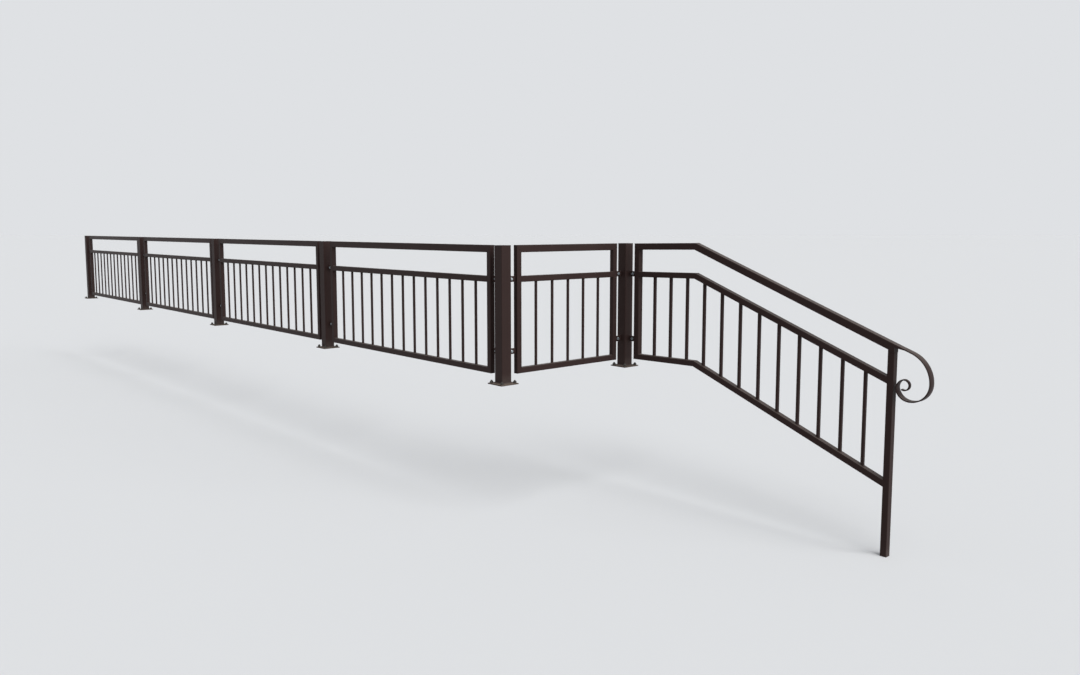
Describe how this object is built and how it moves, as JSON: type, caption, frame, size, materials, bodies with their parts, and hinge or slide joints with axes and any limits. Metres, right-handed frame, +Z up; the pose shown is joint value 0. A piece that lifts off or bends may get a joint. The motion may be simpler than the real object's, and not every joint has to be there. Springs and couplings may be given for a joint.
{
  "type": "metal terrace railing with a stair panel",
  "caption": "Welded steel terrace railing: flat panels of slim bars between square flanged posts, a return bay, and a sloping stair panel whose handrail ends in a scroll.",
  "frame": {"origin": "centre of the corner post's base plate, on its underside, where it stands on the coping", "axes": "+Z up; the long run of bays goes along -X from the corner post, the return bay along +Y, and the stair panel along +X from the last post"},
  "size_m": [9.8458, 1.085, 1.485],
  "materials": {
    "post_coat": "satin",
    "plate_coat": "satin",
    "panel_coat": "satin",
    "fixing_coat": "satin",
    "bolt_zinc": "satin"
  },
  "bodies": {
    "root": {"base_plate_1": "plate_coat", "base_plate_2": "plate_coat", "base_plate_3": "plate_coat", "base_plate_4": "plate_coat", "base_plate_5": "plate_coat", "base_plate_6": "plate_coat", "bay_1_balusters": "panel_coat", "bay_1_infill_rails": "panel_coat", "bay_1_stiles": "panel_coat", "bay_1_top_rail": "panel_coat", "bay_2_balusters": "panel_coat", "bay_2_infill_rails": "panel_coat", "bay_2_stiles": "panel_coat", "bay_2_top_rail": "panel_coat", "bay_3_balusters": "panel_coat", "bay_3_infill_rails": "panel_coat", "bay_3_stiles": "panel_coat", "bay_3_top_rail": "panel_coat", "bay_4_balusters": "panel_coat", "bay_4_infill_rails": "panel_coat", "bay_4_stiles": "panel_coat", "bay_4_top_rail": "panel_coat", "bay_5_balusters": "panel_coat", "bay_5_infill_rails": "panel_coat", "bay_5_stiles": "panel_coat", "bay_5_top_rail": "panel_coat", "fixing_bolts": "bolt_zinc", "handrail_scroll": "panel_coat", "panel_lugs": "fixing_coat", "post_1": "post_coat", "post_2": "post_coat", "post_3": "post_coat", "post_4": "post_coat", "post_5": "post_coat", "post_6": "post_coat", "post_lugs": "fixing_coat", "stair_balusters": "panel_coat", "stair_end_post": "panel_coat", "stair_handrail": "panel_coat", "stair_infill_rails": "panel_coat", "stair_stile": "panel_coat"}
  },
  "joints": []
}
